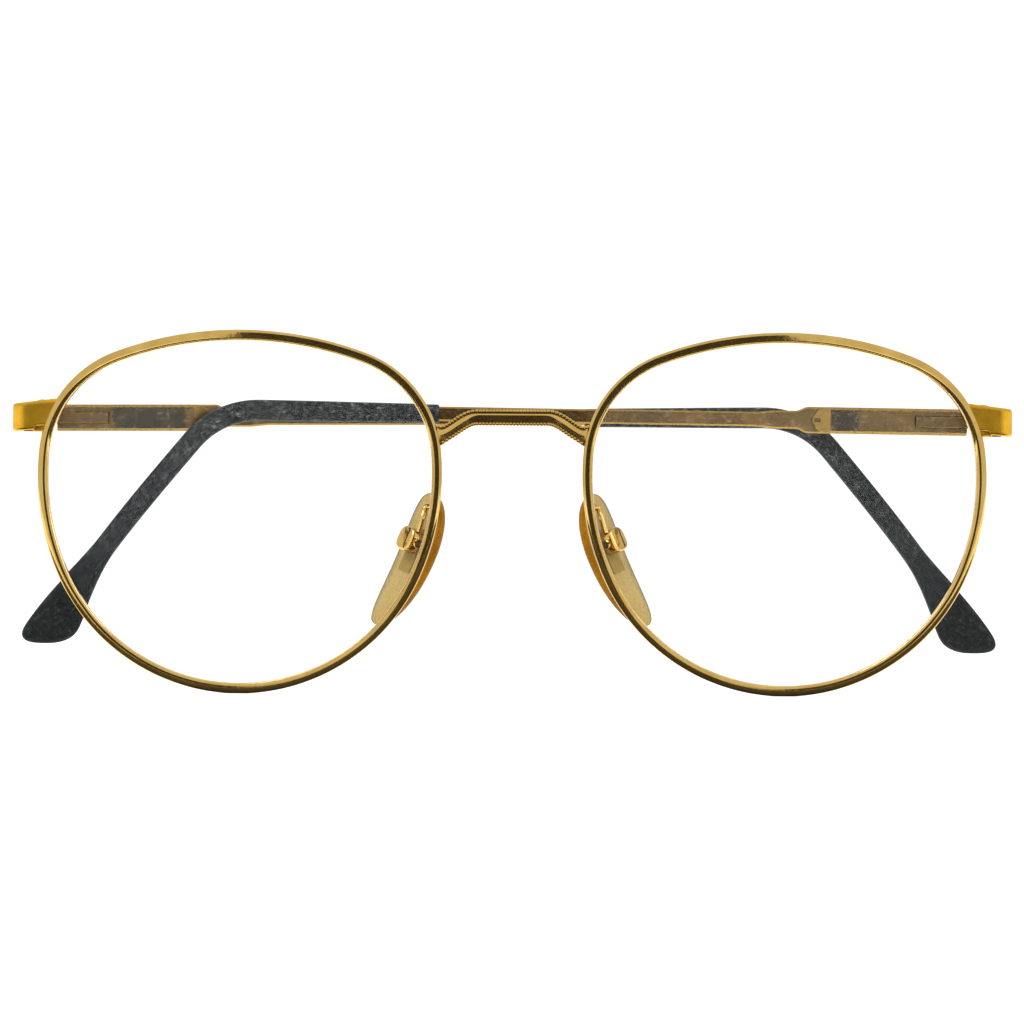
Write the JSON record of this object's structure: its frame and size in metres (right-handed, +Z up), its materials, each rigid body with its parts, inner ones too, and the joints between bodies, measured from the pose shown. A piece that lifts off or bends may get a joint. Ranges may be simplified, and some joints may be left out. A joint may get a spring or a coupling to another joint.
{
  "type": "round eyeglasses",
  "caption": "Round gold-metal full-rim eyeglasses with clear lenses, nose pads on goose-neck arms and folded spring-hinged temples with dark plastic tips.",
  "frame": {"origin": "centre of the footprint, in the plane under the rims' lowest points", "axes": "+X to the viewer's right when facing the front, +Y backwards, towards the wearer, +Z up as worn"},
  "size_m": [0.1304, 0.019, 0.0473],
  "materials": {
    "gold_metal": "polished gold plate, satin brushed on the endpieces",
    "screw_metal": "polished, gold-toned",
    "spring_steel": "plain machined steel",
    "lens": "clear and polished, no tint",
    "pad_plastic": "translucent, pale amber",
    "insert_plastic": "dark brown",
    "tip_plastic": "charcoal, semi-matte with fine scratches"
  },
  "bodies": {
    "front": {"bridge": "gold_metal", "endpiece_left": "gold_metal", "endpiece_right": "gold_metal", "hinge_screw_left": "screw_metal", "hinge_screw_right": "screw_metal", "lens_left": "lens", "lens_right": "lens", "pad_arm_left": "gold_metal", "pad_arm_right": "gold_metal", "pad_screw_left": "screw_metal", "pad_screw_right": "screw_metal", "rim_left": "gold_metal", "rim_lock_lower_left": "gold_metal", "rim_lock_lower_right": "gold_metal", "rim_lock_screw_left": "screw_metal", "rim_lock_screw_right": "screw_metal", "rim_lock_upper_left": "gold_metal", "rim_lock_upper_right": "gold_metal", "rim_right": "gold_metal"},
    "hinge_left": {"flex_slider_left": "spring_steel", "flex_collar_left": "spring_steel", "flex_spring_left": "spring_steel"},
    "temple_left": {"flex_bush_left": "spring_steel", "temple_housing_left": "gold_metal", "temple_arm_left": "gold_metal", "temple_tip_left": "tip_plastic"},
    "pad_left": {"nose_pad_left": "pad_plastic", "pad_insert_left": "insert_plastic"},
    "hinge_right": {"flex_slider_right": "spring_steel", "flex_collar_right": "spring_steel", "flex_spring_right": "spring_steel"},
    "temple_right": {"flex_bush_right": "spring_steel", "temple_housing_right": "gold_metal", "temple_arm_right": "gold_metal", "temple_tip_right": "tip_plastic"},
    "pad_right": {"nose_pad_right": "pad_plastic", "pad_insert_right": "insert_plastic"}
  },
  "joints": [
    {"name": "temple_hinge_right", "type": "hinge", "parent": "front", "child": "hinge_right", "pos_m": [0.0615, 0.00193, 0.03577], "axis": [-0.0119, 0, -0.9999], "range_deg": [0, 95]},
    {"name": "temple_hinge_left", "type": "hinge", "parent": "front", "child": "hinge_left", "pos_m": [-0.0615, 0.00193, 0.03577], "axis": [-0.0058, 0, 1], "range_deg": [0, 91.5]},
    {"name": "flex_slide_right", "type": "slide", "parent": "hinge_right", "child": "temple_right", "axis": [-0.9993, -0.0349, 0.0119], "range_m": [0, 0.0015], "stiffness_N_per_m": 1000, "deforming": ["flex_spring_right"]},
    {"name": "flex_slide_left", "type": "slide", "parent": "hinge_left", "child": "temple_left", "axis": [0.9996, 0.0262, 0.0058], "range_m": [0, 0.0015], "stiffness_N_per_m": 1000, "deforming": ["flex_spring_left"]},
    {"name": "pad_pivot_right", "type": "hinge", "parent": "front", "child": "pad_right", "pos_m": [0.01328, -0.00296, 0.02008], "axis": [0.5624, 0.788, 0.2504], "range_deg": [-6, 6]},
    {"name": "pad_pivot_left", "type": "hinge", "parent": "front", "child": "pad_left", "pos_m": [-0.01328, -0.00296, 0.02008], "axis": [-0.5624, 0.788, 0.2504], "range_deg": [-6, 6]}
  ]
}
